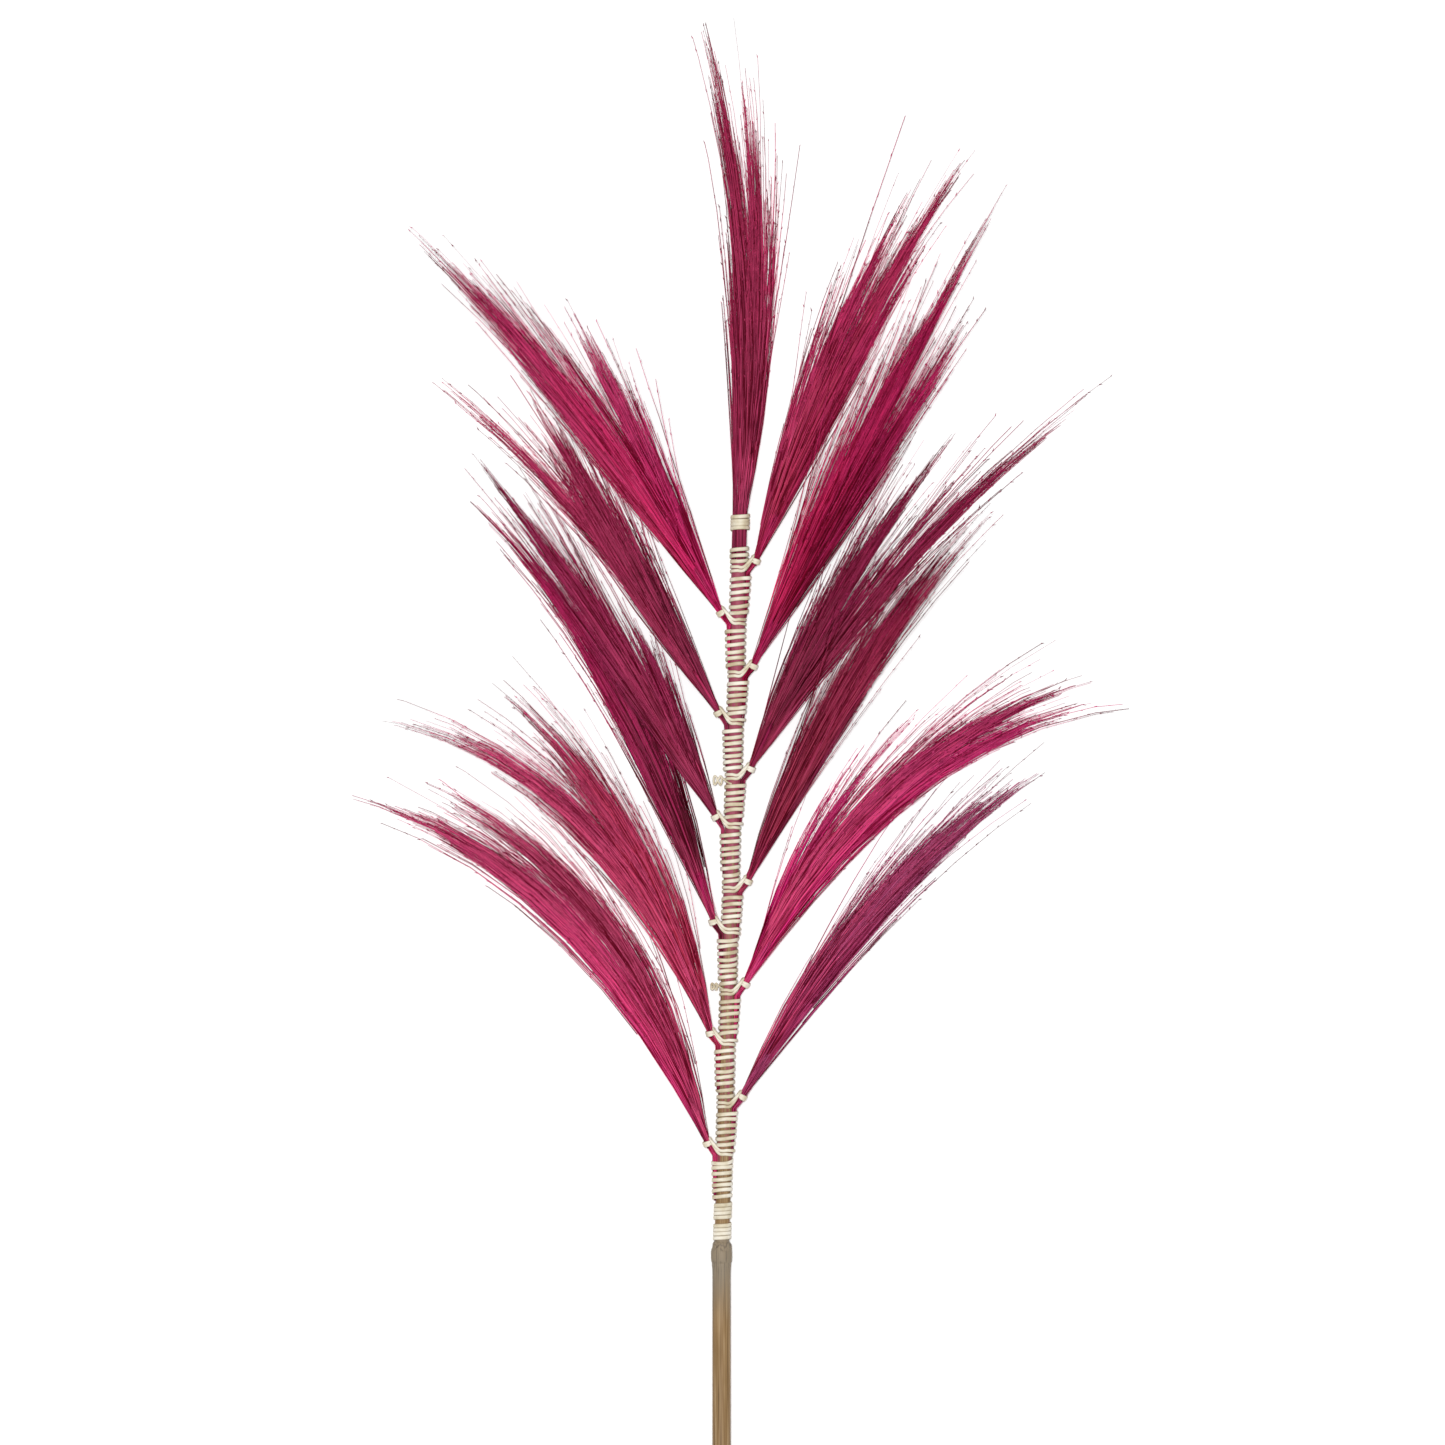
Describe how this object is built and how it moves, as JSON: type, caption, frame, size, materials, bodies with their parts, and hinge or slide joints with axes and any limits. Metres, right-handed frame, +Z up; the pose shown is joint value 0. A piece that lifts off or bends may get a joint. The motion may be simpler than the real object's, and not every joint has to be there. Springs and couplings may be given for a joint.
{
  "type": "dried grass branch",
  "caption": "Branch of dyed rayung grass plumes bound along a bare reed cane with a wound split-reed strip, lying flat.",
  "frame": {"origin": "on the table, under the middle of the branch's outline", "axes": "+Y along the cane towards the top plume's tip, +X to the right seen from above with the tip away, +Z up from the table"},
  "size_m": [0.6816, 1.1966, 0.0243],
  "materials": {
    "cane": "dry matt cane",
    "strip": "satin split reed",
    "grass_magenta": "dyed dry fibre",
    "grass_burgundy": "dyed dry fibre",
    "grass_rose": "dyed dry fibre"
  },
  "bodies": {
    "root": {"cane": "cane", "plume_left_1": "grass_magenta", "collar_left_1": "strip", "plume_left_2": "grass_burgundy", "collar_left_2": "strip", "plume_left_3": "grass_magenta", "collar_left_3": "strip", "plume_left_4": "grass_magenta", "collar_left_4": "strip", "plume_left_5": "grass_burgundy", "collar_left_5": "strip", "plume_left_6": "grass_magenta", "collar_left_6": "strip", "plume_right_1": "grass_burgundy", "collar_right_1": "strip", "plume_right_2": "grass_magenta", "collar_right_2": "strip", "plume_right_3": "grass_burgundy", "collar_right_3": "strip", "plume_right_4": "grass_burgundy", "collar_right_4": "strip", "plume_right_5": "grass_magenta", "collar_right_5": "strip", "plume_right_6": "grass_rose", "collar_right_6": "strip", "plume_top": "grass_burgundy", "winding_01": "strip", "winding_02": "strip", "winding_03": "strip", "winding_04": "strip", "winding_05": "strip", "winding_06": "strip", "winding_07": "strip", "winding_08": "strip", "winding_09": "strip", "winding_10": "strip", "winding_11": "strip", "winding_12": "strip", "winding_13": "strip", "winding_14": "strip", "strip_knot_1": "strip", "strip_knot_2": "strip"}
  },
  "joints": []
}
